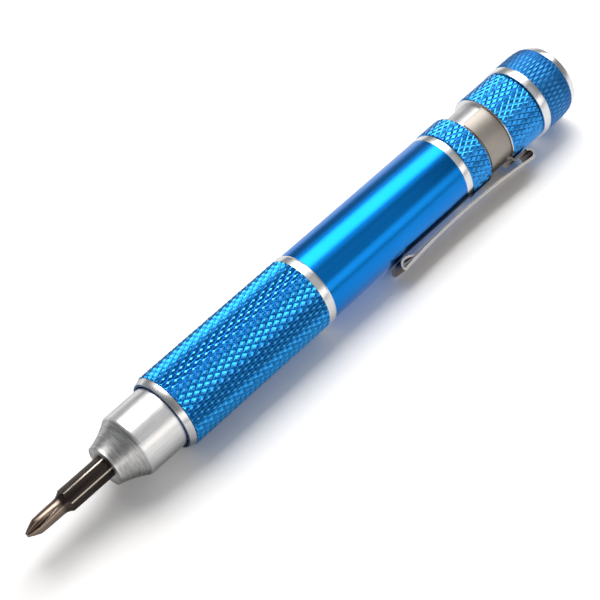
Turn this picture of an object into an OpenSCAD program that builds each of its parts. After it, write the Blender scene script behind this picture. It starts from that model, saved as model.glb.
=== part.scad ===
// Pocket screwdriver with a spring clip, a swivelling end cap and a magazine of small bits
// The tool lies along X: the mouth of the nose is at the origin and the tail points to +X

/* [Bits] */
// Width across the flats of a bit
bit_flats = 4; // [3.6:0.1:4.2]
// Length of a bit
bit_len = 28; // [26:0.5:30]
// Length of the fitted bit that stands out of the nose
bit_reach = 18.1; // [17:0.1:19]
// Length of a bit from its tip to its hexagon
bit_shaft_len = 8.95; // [8:0.05:10]
// Radius of a bit's round neck
bit_neck_r = 1.57; // [1.4:0.01:1.7]
// Turn of the fitted bit about the tool
bit_turn = 29.4; // [0:0.1:60]
// Clearance all round a bit in its socket
bit_gap = 0.05; // [0.03:0.01:0.08]

/* [Nose] */
// Width of the rim of the nose's mouth
mouth_rim = 1.4; // [1:0.05:1.8]
// Step from the barrel's front edge in to the nose
front_land = 0.72; // [0.5:0.02:1]
// Length of the flare
flare_len = 5.77; // [5:0.01:7]
// Length of the nose that shows
nose_len = 13.6; // [13:0.1:15]
// Gap round the nose in the barrel's mouth
rim_gap = 0.22; // [0.1:0.01:0.3]
// Depth of the hollow of the flare
flare_hollow = 0.24; // [0.1:0.01:0.4]
// Length of the spigot that holds the nose in the barrel
nose_spigot_len = 10.4; // [8:0.1:12]
// Step from the nose in to that spigot
spigot_step = 0.48; // [0.4:0.02:1]
// Length of the magnet behind the bit
magnet_len = 3; // [2:0.1:4]
// Radius of the magnet
magnet_r = 1.95; // [1.5:0.05:2.2]

/* [Barrel] */
// Wall of the smooth barrel
barrel_wall = 1.1; // [0.9:0.05:1.5]
// Rise of the knurled grip over the smooth barrel
grip_rise = 0.15; // [0.1:0.01:0.3]
// Length of the bright bevel in front of the grip
bevel_len = 1.42; // [1:0.01:2]
// Height of that bevel
bevel_rise = 0.55; // [0.3:0.05:0.8]
// Length of the knurled grip
grip_len = 33.54; // [25:0.01:38]
// Length of the bright ring behind the grip
grip_ring_len = 1.91; // [1.2:0.01:2.5]
// Length of the bright ring at the rear of the barrel
rear_ring_len = 1.62; // [1.2:0.01:2.5]

/* [Magazine] */
// Web between two channels of the rack
rack_web = 0.55; // [0.4:0.05:0.8]
// Cover of a stored bit's corner under the round of the rack
rack_cover = 0.24; // [0.15:0.01:0.4]
// Clearance round the magazine
rack_gap = 0.1; // [0.08:0.01:0.15]
// Thickness of the rack's front wall
rack_front = 0.4; // [0.3:0.05:0.8]
// Thickness of the rack's rear wall
rack_rear = 0.7; // [0.5:0.05:1]
// Length of the stub on which the tail turns
stub_len = 5.5; // [4:0.1:6]
// Radius of that stub
stub_r = 3.55; // [3:0.05:4]
// Thickness of the pad in front of the rack
pad_t = 0.5; // [0.3:0.05:0.8]

/* [Tail] */
// Length of the tail's thread in the barrel
thread_len = 6.25; // [6:0.05:8]
// Rise of the knurled collar over the smooth barrel
collar_rise = 0.16; // [0.1:0.01:0.2]
// Length of the knurled collar
collar_len = 5.35; // [4.5:0.05:6]
// Depth of the clip's groove below the smooth barrel
groove_depth = 0.95; // [0.8:0.01:1.1]
// Width of the clip's groove
groove_len = 6.3; // [6.2:0.05:7]
// Rise of the knurled rear of the tail over the smooth barrel
tail_rise = 0.1; // [0.05:0.01:0.15]
// Length of the knurled rear of the tail
tail_len = 8.75; // [8:0.05:10]
// Wall of the bush
bush_wall = 0.9; // [0.7:0.05:1.1]
// Length of the bush
bush_len = 6; // [4:0.1:7]

/* [End cap] */
// Rise of the end cap over the smooth barrel
cap_rise = 0.37; // [0.2:0.01:0.5]
// Length of the end cap
cap_len = 10.05; // [9:0.05:12]
// Length of the bright ring at the front of the cap
cap_ring_len = 1.84; // [1.2:0.01:2.5]
// Length of the bright bevel at the rear of the cap
cap_bevel_len = 1.47; // [1:0.01:2]
// Height of that bevel
cap_bevel_rise = 0.4; // [0.3:0.01:0.6]
// Depth of the dish in the rear face
dish_depth = 0.6; // [0.3:0.05:1]
// Width of the flat rim round the dish
dish_rim = 2.03; // [1.5:0.01:3]
// Radius of the pivot pin
pin_r = 2; // [1.6:0.05:2.2]
// Gap between the cap and the tail
cap_gap = 0.15; // [0.1:0.01:0.2]

/* [Clip] */
// Thickness of the clip's sheet
sheet_t = 0.46; // [0.4:0.02:0.6]
// Angle of the clip below the side of the tool
clip_tilt = 33; // [0:1:60]
// Half of the angle that the band goes round the tool
band_half = 123.5; // [100:0.5:140]
// Width of the band
band_len = 5.6; // [5.2:0.05:5.9]
// Width of the blade
blade_w = 5.4; // [5:0.1:6]
// Width of the tab that carries the blade
tab_w = 4.4; // [4:0.1:4.8]
// Length of the tab's flat leg over the tail
leg_len = 2.9; // [2.5:0.1:4]
// Radius of the two bends that lift the tab out of the groove
lift_r = 0.45; // [0.4:0.01:0.5]
// Radius of the long curve of the blade
blade_bow_r = 170; // [150:5:220]
// Length of the blade behind its lowest point
blade_rear = 20.05; // [18:0.05:22]
// Length of the blade in front of its lowest point
blade_front = 15.8; // [14:0.1:17]
// Gap between the blade's lowest point and the collar
blade_gap = 0.73; // [0.6:0.01:0.9]
// Radius of the fold at the front end of the blade
fold_r = 0.35; // [0.3:0.01:0.5]
// Radius of the foot behind its lowest point
foot_r = 3.6; // [3:0.1:4.5]
// Angle at which the foot turns away from the barrel
foot_angle = 24; // [18:1:28]
// Length of the lip behind the foot
lip_len = 0.8; // [0.5:0.1:1]
// Gap between the foot and the barrel
foot_gap = 0.08; // [0.05:0.01:0.15]

/* [Hidden] */
round_fn = 96;
blue = [0.09, 0.5, 0.85];
bright = [0.86, 0.87, 0.88];
nickel = [0.72, 0.68, 0.64];
dark_steel = [0.22, 0.2, 0.2];

// Overrun of every cut, and the small clearance between pieces fixed to each other
overrun = 1;
seat_gap = 0.03;
run_gap = 0.05;

// Bit ends, from the tip: lengths along the bit and radii at them
tip_r = 0.45;
tip_cone_len = 2.3;
tip_cone_bow = 0.04;
flute_root_r = 0.2;
flute_angle = 40;
shoulder_len = 1.9;
shoulder_bow = 0.2;
neck_rest = 0.15;
flute_run = bit_shaft_len - shoulder_len - neck_rest;
bit_corner_cut = 0.06;
bit_end_bevel = 0.3;
small_tip_share = 0.72;
blade_small_t = 0.4;
blade_large_t = 0.6;
blade_small_w = 1.8;
blade_large_w = 2.9;
blade_taper_len = 5;
blade_flat_len = 1.2;
blade_rest_len = 0.4;
drive_len = 3.4;
drive_taper_len = 1.6;
drive_step = 0.06;
lobe_small_r = 0.84;
lobe_large_r = 1.18;
lobe_hollow_share = 0.36;
lobe_place_share = 1.16;
key_flats = 2;

// Radii of the bits, the rack, the barrel and what follows the barrel
bit_corner_r = bit_flats / 2 / cos(30);
bit_round_r = bit_corner_r - bit_corner_cut;
channel_half = bit_flats / 2 + seat_gap;
store_r = channel_half * (1 + tan(30)) + rack_web;
rack_r = store_r + bit_corner_r + rack_cover;
bore_r = rack_r + rack_gap;
barrel_r = bore_r + barrel_wall;
grip_r = barrel_r + grip_rise;
front_r = grip_r - bevel_rise;
nose_r = front_r - front_land;
nose_spigot_r = nose_r - spigot_step;
spigot_bore_r = nose_spigot_r + seat_gap;
mouth_clear = 0.44;
mouth_hole_r = bit_corner_r + mouth_clear;
mouth_r = mouth_hole_r + mouth_rim;
collar_r = barrel_r + collar_rise;
groove_r = barrel_r - groove_depth;
tail_r = barrel_r + tail_rise;
tail_bore_r = stub_r + run_gap;
bush_seat_r = pin_r + run_gap + bush_wall + seat_gap;
cap_r = barrel_r + cap_rise;

// Places along X, from the mouth of the nose
socket_end = bit_len - bit_reach + bit_gap;
mouth_bevel = 0.45;
mouth_land = 0.3;
ridge_len = 0.67;
ridge_r = 0.18;
ridge_bow = 0.06;
rim_depth = 0.8;
rim_step = 0.25;
seat_x = nose_len + rim_depth;
bore_start = nose_len + nose_spigot_len;
grip_start = nose_len + bevel_len;
grip_end = grip_start + grip_len;
smooth_start = grip_end + grip_ring_len;
ring_bevel = 0.37;
ring_step = 0.02;
rack_start = bore_start + pad_t + rack_gap;
store_start = rack_start + rack_front;
store_len = 2 * bit_len + 3 * rack_gap;
rack_end = store_start + store_len + rack_rear;
thread_start = rack_end + rack_gap;
barrel_end = thread_start + thread_len;
collar_start = barrel_end + run_gap;
groove_start = collar_start + collar_len;
groove_end = groove_start + groove_len;
tail_end = groove_end + tail_len;
bush_start = tail_end - bush_len;
cap_start = tail_end + cap_gap;
cap_end = cap_start + cap_len;

// Small sizes of the barrel, the rack and the tail
knurl_step = 0.17;
knurl_step_len = 0.12;
barrel_edge = 0.06;
barrel_edge_len = 0.35;
lip_w = 0.2;
lip_place = 1.45;
lip_slope = 0.45;
thread_bevel = 0.4;
seal_r = 0.42;
seal_behind = 1.05;
collar_edge = 0.22;
collar_edge_len = 0.35;
tail_edge = 0.15;
tail_edge_len = 0.3;
edge_mid_share = 0.3;

// Small sizes of the end cap and its pivot
cap_edge = 0.15;
cap_edge_len = 0.2;
cap_round_len = 2.8;
cap_round = 0.27;
cap_round_bow = 0.08;
washer_rim = 3.5;
washer_r = pin_r + washer_rim;
washer_t = 0.44;
washer_hole = 0.3;
pin_in_cap = 5;
pin_front_len = 1.2;
clip_ring_t = 0.5;
clip_ring_gap = 0.2;
clip_ring_clear = 0.3;
clip_ring_r = tail_bore_r - clip_ring_clear;
pin_neck_depth = 0.44;
pin_neck_r = pin_r - pin_neck_depth;
clip_ring_slot_share = 0.8;
cap_rear_r = cap_r - cap_round - knurl_step - cap_bevel_rise;
dish_r = cap_rear_r - dish_rim;

// Places of the clip: heights of its sheet's middle above the tool's axis
band_mid = groove_r + run_gap + sheet_t / 2;
band_end = groove_end - run_gap - seat_gap;
band_start = band_end - band_len;
band_corner = 0.6;
corner_run = 0.1;
corner_bow = 0.17;
leg_gap = 0.1;
leg_mid = tail_r + leg_gap + sheet_t / 2;
lift_rest = leg_mid - band_mid - 2 * lift_r;
tab_start = band_end - sheet_t / 2 - lift_r;
tab_slot = 0.1;
leg_end = tab_start + 2 * lift_r + leg_len;
dip = asin(blade_rear / blade_bow_r);
rise = asin(blade_front / blade_bow_r);
blade_low = collar_r + blade_gap + sheet_t / 2;
blade_high = blade_low + blade_bow_r * (1 - cos(dip));
blade_tip = blade_low + blade_bow_r * (1 - cos(rise));
turn_r = (blade_high - leg_mid) / (1 + cos(dip));
foot_mid = barrel_r + foot_gap + sheet_t / 2;
toe_r = blade_tip - foot_mid - fold_r * cos(rise);

// Points of an arc from p to q that bulges by rise_h to the left of that line
function bow(p, q, rise_h, n) = let (
    d = q - p,
    l = norm(d),
    u = d / l,
    v = [-u[1], u[0]],
    h = abs(rise_h),
    r = (l * l / 4 + h * h) / (2 * h),
    phi = asin(l / 2 / r))
    [for (i = [0:n]) let (a = phi * (2 * i / n - 1))
        p + (l / 2 + r * sin(a)) * u + sign(rise_h) * r * (cos(a) - cos(phi)) * v];

// A walk in a plane holds [x, y, heading]: it goes ahead, or round a bend of radius r
function last(list) = list[len(list) - 1];
function ahead(s, l) = [s[0] + l * cos(s[2]), s[1] + l * sin(s[2]), s[2]];
function bend(s, r, turn, n) = let (
    k = sign(turn) * r,
    cx = s[0] - k * sin(s[2]),
    cy = s[1] + k * cos(s[2]))
    [for (i = [1:n]) let (a = s[2] + turn * i / n) [cx + k * sin(a), cy - k * cos(a), a]];

// Both sides of a sheet of thickness t that follows a walk
function sheet(path, t) = concat(
    [for (s = path) [s[0] - t / 2 * sin(s[2]), s[1] + t / 2 * cos(s[2])]],
    [for (i = [len(path) - 1:-1:0]) let (s = path[i])
        [s[0] + t / 2 * sin(s[2]), s[1] - t / 2 * cos(s[2])]]);

// A profile of [radius, x] points turned about the tool's axis
module lathe(points) {
    rotate([0, 90, 0])
        rotate_extrude($fn = round_fn)
            polygon(points);
}

// A flat shape in Y and Z, drawn out along X
module along_x(x, l) {
    translate([x, 0, 0])
        rotate([90, 0, 90])
            linear_extrude(l)
                children();
}

module tube(x, l, r_out, r_in) {
    difference() {
        along_x(x, l) circle(r_out, $fn = round_fn);
        along_x(x - overrun, l + 2 * overrun) circle(r_in, $fn = round_fn);
    }
}

module hexagon(flats) {
    circle(flats / 2 / cos(30), $fn = 6);
}

// Knurled grip, bright rings and smooth barrel, with the bore of the magazine
module barrel() {
    color(blue) lathe([
        [spigot_bore_r, seat_x],
        [nose_r + rim_gap, seat_x],
        [nose_r + rim_gap, nose_len],
        [front_r, nose_len],
        [grip_r - knurl_step, grip_start],
        [grip_r, grip_start + knurl_step_len],
        [grip_r, smooth_start - ring_bevel],
        [barrel_r, smooth_start],
        [barrel_r, barrel_end - rear_ring_len],
        [barrel_r - ring_step, barrel_end - rear_ring_len],
        [barrel_r - ring_step, barrel_end - barrel_edge_len],
        [barrel_r - barrel_edge, barrel_end],
        [bore_r, barrel_end],
        [bore_r, bore_start],
        [spigot_bore_r, bore_start]]);
}

// Flared nose with the hexagonal socket and the seat of the magnet
module nose() {
    flare_end_r = nose_r - ridge_r;
    flare_end = flare_len - ridge_len;
    color(bright) difference() {
        lathe(concat(
            [[0, 0], [mouth_r, 0]],
            bow([mouth_r, mouth_land], [flare_end_r, flare_end], flare_hollow, 10),
            bow([flare_end_r, flare_end], [nose_r, flare_len], -ridge_bow, 4),
            [[nose_r, nose_len], [nose_r - rim_step, nose_len], [nose_r - rim_step, seat_x],
            [nose_spigot_r, seat_x], [nose_spigot_r, bore_start], [0, bore_start]]));
        lathe([[0, -overrun], [mouth_hole_r, -overrun], [mouth_hole_r, 0],
            [mouth_hole_r - mouth_bevel, mouth_bevel], [0, mouth_bevel]]);
        rotate([bit_turn, 0, 0])
            along_x(-overrun, socket_end + overrun)
                hexagon(bit_flats + 2 * bit_gap);
        along_x(0, socket_end + magnet_len + seat_gap)
            circle(magnet_r + seat_gap, $fn = round_fn);
    }
}

module socket_magnet() {
    color("dimgray") along_x(socket_end, magnet_len) circle(magnet_r, $fn = round_fn);
}

module rack_pad() {
    color("black") along_x(bore_start, pad_t) circle(rack_r, $fn = round_fn);
}

// A bit's neck from x = front on, its hollow shoulder and its hexagon, with the tip at x = 0
module bit_shank(front) {
    intersection() {
        lathe(concat(
            [[0, front], [bit_neck_r, front]],
            bow([bit_neck_r, bit_shaft_len - shoulder_len], [bit_round_r, bit_shaft_len], shoulder_bow, 6),
            [[bit_round_r, bit_len - bit_end_bevel],
            [bit_round_r - bit_end_bevel, bit_len],
            [0, bit_len]]));
        along_x(0, bit_len) hexagon(bit_flats);
    }
}

// Four fluted wings of a cross-head tip, where share makes a finer one
module cross_tip(share) {
    root_r = flute_root_r * share;
    reach = 2 * bit_neck_r;
    difference() {
        lathe(concat(
            [[0, 0]],
            bow([tip_r * share, 0], [bit_neck_r, tip_cone_len], -tip_cone_bow, 4),
            [[bit_neck_r, flute_run], [0, flute_run]]));
        for (a = [0:90:270])
            rotate([a, 0, 0])
                translate([0, 0, root_r])
                    rotate([0, -atan((bit_neck_r - root_r) / flute_run), 0])
                        along_x(-overrun, flute_run + 2 * overrun)
                            polygon([[0, 0],
                                reach * [tan(flute_angle), 1],
                                reach * [-tan(flute_angle), 1]]);
    }
    bit_shank(flute_run);
}

// Flat blade of width w and thickness t, ground down from the neck
module slotted_tip(w, t) {
    grind_end = blade_flat_len + blade_taper_len;
    blade_end = grind_end + blade_rest_len;
    steep = (bit_neck_r - t / 2) / blade_taper_len;
    reach = bit_neck_r + overrun;
    difference() {
        along_x(0, blade_end) circle(bit_neck_r, $fn = round_fn);
        for (side = [0, 1])
            mirror([0, 0, side])
                translate([0, reach, 0])
                    rotate([90, 0, 0])
                        linear_extrude(2 * reach)
                            polygon([
                                [-overrun, t / 2],
                                [blade_flat_len, t / 2],
                                [grind_end + overrun, bit_neck_r + overrun * steep],
                                [-overrun, bit_neck_r + overrun * steep]]);
        for (side = [0, 1])
            mirror([0, side, 0])
                translate([-overrun, w / 2, -reach])
                    cube([overrun + blade_flat_len + blade_taper_len / 2, bit_neck_r, 2 * reach]);
    }
    bit_shank(blade_end);
}

// A straight driving end of any flat shape inside radius r, with a cone up to the neck
module drive_tip(r) {
    along_x(0, drive_len) children();
    lathe([
        [0, drive_len],
        [r + drive_step, drive_len],
        [bit_neck_r, drive_len + drive_taper_len],
        [0, drive_len + drive_taper_len]]);
    bit_shank(drive_len + drive_taper_len);
}

module six_lobe_tip(r) {
    drive_tip(r)
        difference() {
            circle(r, $fn = round_fn);
            for (a = [0:60:300])
                rotate(a)
                    translate([lobe_place_share * r, 0])
                        circle(lobe_hollow_share * r, $fn = round_fn);
        }
}

module fitted_bit() {
    color(dark_steel)
        translate([-bit_reach, 0, 0])
            rotate([bit_turn, 0, 0])
                cross_tip(1);
}

// One place in the rack: channel 0 to 3 round the middle, row 0 in front and 1 behind
module stored(channel, row) {
    color(dark_steel)
        rotate([90 * channel, 0, 0])
            translate([store_start + rack_gap + row * (bit_len + rack_gap), 0, store_r])
                rotate([30, 0, 0])
                    children();
}

module bit_cross_small() {
    stored(0, 0) cross_tip(small_tip_share);
}

module bit_cross_large() {
    stored(0, 1) cross_tip(1);
}

module bit_slotted_small() {
    stored(1, 0) slotted_tip(blade_small_w, blade_small_t);
}

module bit_slotted_large() {
    stored(1, 1) slotted_tip(blade_large_w, blade_large_t);
}

module bit_six_lobe_small() {
    stored(2, 0) six_lobe_tip(lobe_small_r);
}

module bit_six_lobe_large() {
    stored(2, 1) six_lobe_tip(lobe_large_r);
}

module bit_hexagon() {
    stored(3, 0) drive_tip(key_flats / 2 / cos(30)) hexagon(key_flats);
}

// One open channel of the rack: a hexagon's lower half, straight walls and two snap lips
module channel_cut() {
    half = channel_half;
    wall = store_r + half * tan(30);
    lips = store_r + lip_place;
    polygon([
        [0, store_r - half / cos(30)],
        [half, store_r - half * tan(30)],
        [half, wall],
        [half - lip_w, lips],
        [half - lip_w, lips + lip_slope],
        [half, rack_r + overrun],
        [-half, rack_r + overrun],
        [lip_w - half, lips + lip_slope],
        [lip_w - half, lips],
        [-half, wall],
        [-half, store_r - half * tan(30)]]);
}

// Moulded rack with four channels, each for two bits end to end, and the tail's pivot stub
module bit_rack() {
    color([0.13, 0.13, 0.14]) {
        along_x(rack_start, rack_front) circle(rack_r, $fn = round_fn);
        along_x(store_start, store_len) difference() {
            circle(rack_r, $fn = round_fn);
            for (a = [0:90:270]) rotate(a) channel_cut();
        }
        along_x(store_start + store_len, rack_rear) circle(rack_r, $fn = round_fn);
        along_x(rack_end, stub_len) circle(stub_r, $fn = round_fn);
    }
}

// Rounded outer edge of a knurled band: it climbs from r - drop to r, from x on
function edge_up(r, x, drop, l) = [
    [r - drop, x],
    [r - drop * edge_mid_share, x + l * edge_mid_share],
    [r, x + l]];
function edge_down(r, x, drop, l) = [
    [r, x - l],
    [r - drop * edge_mid_share, x - l * edge_mid_share],
    [r - drop, x]];

// Threaded spigot, knurled collar, clip groove and knurled rear, bored for rack and bush
module tail_sleeve() {
    thread_r = bore_r - run_gap;
    seal_mid = barrel_end - seal_behind;
    seal_floor = thread_r - 2 * seal_r - seat_gap;
    seal_half = seal_r + seat_gap;
    color(blue) lathe(concat(
        [[tail_bore_r, thread_start],
        [thread_r - thread_bevel, thread_start],
        [thread_r, thread_start + thread_bevel],
        [thread_r, seal_mid - seal_half],
        [seal_floor, seal_mid - seal_half],
        [seal_floor, seal_mid + seal_half],
        [thread_r, seal_mid + seal_half],
        [thread_r, collar_start]],
        edge_up(collar_r, collar_start, collar_edge, collar_edge_len),
        edge_down(collar_r, groove_start, collar_edge, collar_edge_len),
        [[groove_r, groove_start], [groove_r, groove_end]],
        edge_up(tail_r, groove_end, tail_edge, tail_edge_len),
        edge_down(tail_r, tail_end, tail_edge, tail_edge_len),
        [[bush_seat_r, tail_end], [bush_seat_r, bush_start], [tail_bore_r, bush_start]]));
}

module tail_seal_ring() {
    color("black")
        translate([barrel_end - seal_behind, 0, 0])
            rotate([0, 90, 0])
                rotate_extrude($fn = round_fn)
                    translate([bore_r - run_gap - seal_r, 0])
                        circle(seal_r, $fn = round_fn / 2);
}

module pivot_bush() {
    color("goldenrod")
        tube(bush_start, bush_len, bush_seat_r - seat_gap, pin_r + run_gap);
}

// Everything of the clip is drawn with its blade above +Z, then turned into place
module clip_place() {
    rotate([90 + clip_tilt, 0, 0]) children();
}

module strip(path, w) {
    translate([0, w / 2, 0])
        rotate([90, 0, 0])
            linear_extrude(w)
                polygon(sheet(path, sheet_t));
}

// Rounds a corner of the band: the end at angle a from the blade, and the edge at x. The band lies
// on the +X side of that edge for edge = 0 and on the -X side for edge = 1
module corner_cut(a, x, edge) {
    rotate([a, 0, 0])
        translate([x, 0, 0])
            mirror([edge, 0, 0])
                mirror([0, a > 0 ? 0 : 1, 0])
                    linear_extrude(band_mid + sheet_t + overrun)
                        polygon(concat(
                            [[-overrun, -overrun]],
                            bow([band_corner, -corner_run], [-corner_run, band_corner], corner_bow, 6)));
}

// Open band in the groove of the tail, with the tab that climbs over the tail's edge
module clip_band() {
    half_gap = 180 - band_half;
    inner = band_mid - sheet_t / 2;
    outer = band_mid + sheet_t / 2;
    reach = outer + overrun;
    lift = bend([tab_start, band_mid, 0], lift_r, 90, 6);
    drop = bend(ahead(last(lift), lift_rest), lift_r, -90, 6);
    color(nickel) clip_place() {
        difference() {
            tube(band_start, band_len, outer, inner);
            along_x(band_start - overrun, band_len + 2 * overrun)
                polygon([[0, 0], [reach * tan(half_gap), -reach], [-reach * tan(half_gap), -reach]]);
            translate([tab_start, -tab_w / 2 - tab_slot, 0])
                cube([band_len, tab_w + 2 * tab_slot, reach]);
            for (a = [-band_half, band_half]) {
                corner_cut(a, band_start, 0);
                corner_cut(a, band_end, 1);
            }
        }
        strip(concat([[tab_start - sheet_t, band_mid, 0], [tab_start, band_mid, 0]], lift,
            [ahead(last(lift), lift_rest)], drop, [[leg_end, leg_mid, 0]]), tab_w);
    }
}

// Bend at the tail end, long bowed blade, and the foot that rests on the barrel
module clip_arm() {
    root = [leg_end, leg_mid, 0];
    turn = bend(root, turn_r, 180 + dip, 14);
    blade = bend(last(turn), blade_bow_r, -dip - rise, 16);
    fold = bend(last(blade), fold_r, 90 + rise, 8);
    toe = bend(last(fold), toe_r, 90, 10);
    foot = bend(last(toe), foot_r, foot_angle, 6);
    color(nickel)
        clip_place()
            strip(concat([root], turn, blade, fold, toe, foot, [ahead(last(foot), lip_len)]), blade_w);
}

// Knurled cap with bright edges, a dished end and the seats of the washer and the pin
module end_cap() {
    knurl_end = cap_end - cap_bevel_len;
    step_r = cap_r - cap_round;
    seat_end = tail_end + washer_t + 2 * seat_gap;
    pin_end = cap_start + pin_in_cap + seat_gap;
    color(blue) lathe(concat(
        [[pin_r + seat_gap, seat_end],
        [washer_r + seat_gap, seat_end],
        [washer_r + seat_gap, cap_start],
        [cap_r - cap_edge, cap_start],
        [cap_r, cap_start + cap_edge_len],
        [cap_r, cap_start + cap_ring_len]],
        bow([cap_r, knurl_end - cap_round_len], [step_r, knurl_end - knurl_step_len], -cap_round_bow, 6),
        [[step_r - knurl_step, knurl_end], [cap_rear_r, cap_end], [dish_r, cap_end]],
        bow([dish_r, cap_end], [0, cap_end - dish_depth], dish_depth / 4, 6),
        [[0, pin_end], [pin_r + seat_gap, pin_end]]));
}

// Pin fixed in the cap, with a neck at its front for the retaining ring
module pivot_pin() {
    neck_end = bush_start - clip_ring_gap + seat_gap;
    neck_start = neck_end - clip_ring_t - 2 * seat_gap;
    color("silver") lathe([
        [0, neck_start - pin_front_len],
        [pin_r, neck_start - pin_front_len],
        [pin_r, neck_start],
        [pin_neck_r, neck_start],
        [pin_neck_r, neck_end],
        [pin_r, neck_end],
        [pin_r, cap_start + pin_in_cap],
        [0, cap_start + pin_in_cap]]);
}

// Spring ring with an open side, snapped into the pin's neck
module retaining_ring() {
    color("dimgray")
        along_x(bush_start - clip_ring_gap - clip_ring_t, clip_ring_t)
            difference() {
                circle(clip_ring_r, $fn = round_fn);
                circle(pin_neck_r + seat_gap, $fn = round_fn);
                translate([-clip_ring_slot_share * pin_neck_r, 0])
                    square([2 * clip_ring_slot_share * pin_neck_r, clip_ring_r + overrun]);
            }
}

module thrust_washer() {
    color("white") tube(tail_end + seat_gap, washer_t, washer_r, pin_r + washer_hole);
}

barrel();
nose();
socket_magnet();
rack_pad();
fitted_bit();
bit_rack();
bit_cross_small();
bit_cross_large();
bit_slotted_small();
bit_slotted_large();
bit_six_lobe_small();
bit_six_lobe_large();
bit_hexagon();
tail_sleeve();
tail_seal_ring();
pivot_bush();
clip_band();
clip_arm();
end_cap();
pivot_pin();
retaining_ring();
thrust_washer();
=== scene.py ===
from math import asin, cos, degrees, dist, pi, radians, sin

import bmesh
import bpy
from mathutils import Matrix, Quaternion, Vector


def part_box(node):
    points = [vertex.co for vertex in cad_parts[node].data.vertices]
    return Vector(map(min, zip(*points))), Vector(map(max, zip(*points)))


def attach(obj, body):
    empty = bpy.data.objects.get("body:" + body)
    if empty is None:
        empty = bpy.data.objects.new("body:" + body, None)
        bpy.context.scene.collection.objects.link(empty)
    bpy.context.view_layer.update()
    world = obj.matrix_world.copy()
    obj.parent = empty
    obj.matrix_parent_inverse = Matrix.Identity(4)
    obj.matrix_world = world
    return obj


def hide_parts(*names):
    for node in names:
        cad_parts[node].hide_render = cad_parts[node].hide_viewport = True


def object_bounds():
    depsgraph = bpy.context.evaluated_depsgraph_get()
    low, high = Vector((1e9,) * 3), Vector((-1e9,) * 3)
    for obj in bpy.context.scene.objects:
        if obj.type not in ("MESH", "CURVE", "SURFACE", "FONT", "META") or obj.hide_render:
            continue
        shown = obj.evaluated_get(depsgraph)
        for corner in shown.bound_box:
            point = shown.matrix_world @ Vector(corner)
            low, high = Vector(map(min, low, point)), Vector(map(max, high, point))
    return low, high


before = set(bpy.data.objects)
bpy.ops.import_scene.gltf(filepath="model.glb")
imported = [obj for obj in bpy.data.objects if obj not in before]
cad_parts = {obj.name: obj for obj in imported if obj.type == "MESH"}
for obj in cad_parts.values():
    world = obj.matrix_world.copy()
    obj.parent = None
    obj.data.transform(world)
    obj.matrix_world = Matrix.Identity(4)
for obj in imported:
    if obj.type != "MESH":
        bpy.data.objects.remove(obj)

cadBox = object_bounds()
mm = 0.001
scene = bpy.context.scene

# Stations along the tool, read from the CAD nodes
barrelLow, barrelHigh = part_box("barrel")
tailLow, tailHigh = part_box("tail_sleeve")
capLow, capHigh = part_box("end_cap")
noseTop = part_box("nose")[1].z
floorHeight = capLow.z


class Wire:
    # An output socket of a node tree; arithmetic on it adds Math nodes
    def __init__(self, tree, socket=None):
        self.tree = tree
        self.socket = socket

    def node(self, kind, settings=None, inputs=None, output=0):
        made = self.tree.nodes.new(kind)
        for name, value in (settings or {}).items():
            setattr(made, name, value)
        for name, value in (inputs or {}).items():
            if isinstance(value, Wire):
                self.tree.links.new(value.socket, made.inputs[name])
            else:
                made.inputs[name].default_value = value
        return Wire(self.tree, made.outputs[output] if len(made.outputs) else None)

    def out(self, output):
        return Wire(self.tree, self.socket.node.outputs[output])

    def math(self, operation, *values):
        return self.node("ShaderNodeMath", {"operation": operation}, dict(enumerate(values)))

    def clamped(self):
        return self.node("ShaderNodeClamp", {}, {0: self})

    def __add__(self, other):
        return self.math("ADD", self, other)

    def __radd__(self, other):
        return self.math("ADD", other, self)

    def __sub__(self, other):
        return self.math("SUBTRACT", self, other)

    def __rsub__(self, other):
        return self.math("SUBTRACT", other, self)

    def __mul__(self, other):
        return self.math("MULTIPLY", self, other)

    def __rmul__(self, other):
        return self.math("MULTIPLY", other, self)

    def __truediv__(self, other):
        return self.math("DIVIDE", self, other)

    def __rtruediv__(self, other):
        return self.math("DIVIDE", other, self)


# Materials: one function starts each, and gives its tree and its place in millimetres
def startMaterial(name):
    made = bpy.data.materials.new(name)
    made.use_nodes = True
    made.node_tree.nodes.clear()
    tree = Wire(made.node_tree)
    place = tree.node("ShaderNodeTexCoord", output="Object")
    place = tree.node("ShaderNodeVectorMath", {"operation": "SCALE"}, {0: place, "Scale": 1 / mm})
    return made, tree, place


def finishMaterial(tree, colour, metallic, roughness, bump, bumpDepth):
    normal = tree.node("ShaderNodeBump", {}, {
        "Height": bump, "Strength": 1.0, "Distance": bumpDepth})
    shader = tree.node("ShaderNodeBsdfPrincipled", {}, {
        "Base Color": colour, "Metallic": metallic, "Roughness": roughness, "Normal": normal})
    tree.node("ShaderNodeOutputMaterial", {}, {"Surface": shader})


def noise(tree, place, scale, detail=2.0, stretch=(1, 1, 1)):
    place = tree.node("ShaderNodeVectorMath", {"operation": "MULTIPLY"}, {0: place, 1: stretch})
    return tree.node("ShaderNodeTexNoise", {}, {
        "Vector": place, "Scale": scale, "Detail": detail})


def mixColour(tree, share, first, second):
    return tree.node("ShaderNodeMix", {"data_type": "RGBA"}, {
        0: share,
        6: first if isinstance(first, Wire) else (*first, 1),
        7: second if isinstance(second, Wire) else (*second, 1)}, output=2)


def scaledColour(colour, share):
    return tuple(min(1, channel * share) for channel in colour)


def axisParts(place):
    split = place.node("ShaderNodeSeparateXYZ", {}, {0: place})
    return split, split.out(1), split.out(2)


# The distance of a place from the tool's axis
def axisDistance(place):
    x, y, z = axisParts(place)
    return place.math("SQRT", y * y + z * z)


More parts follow.
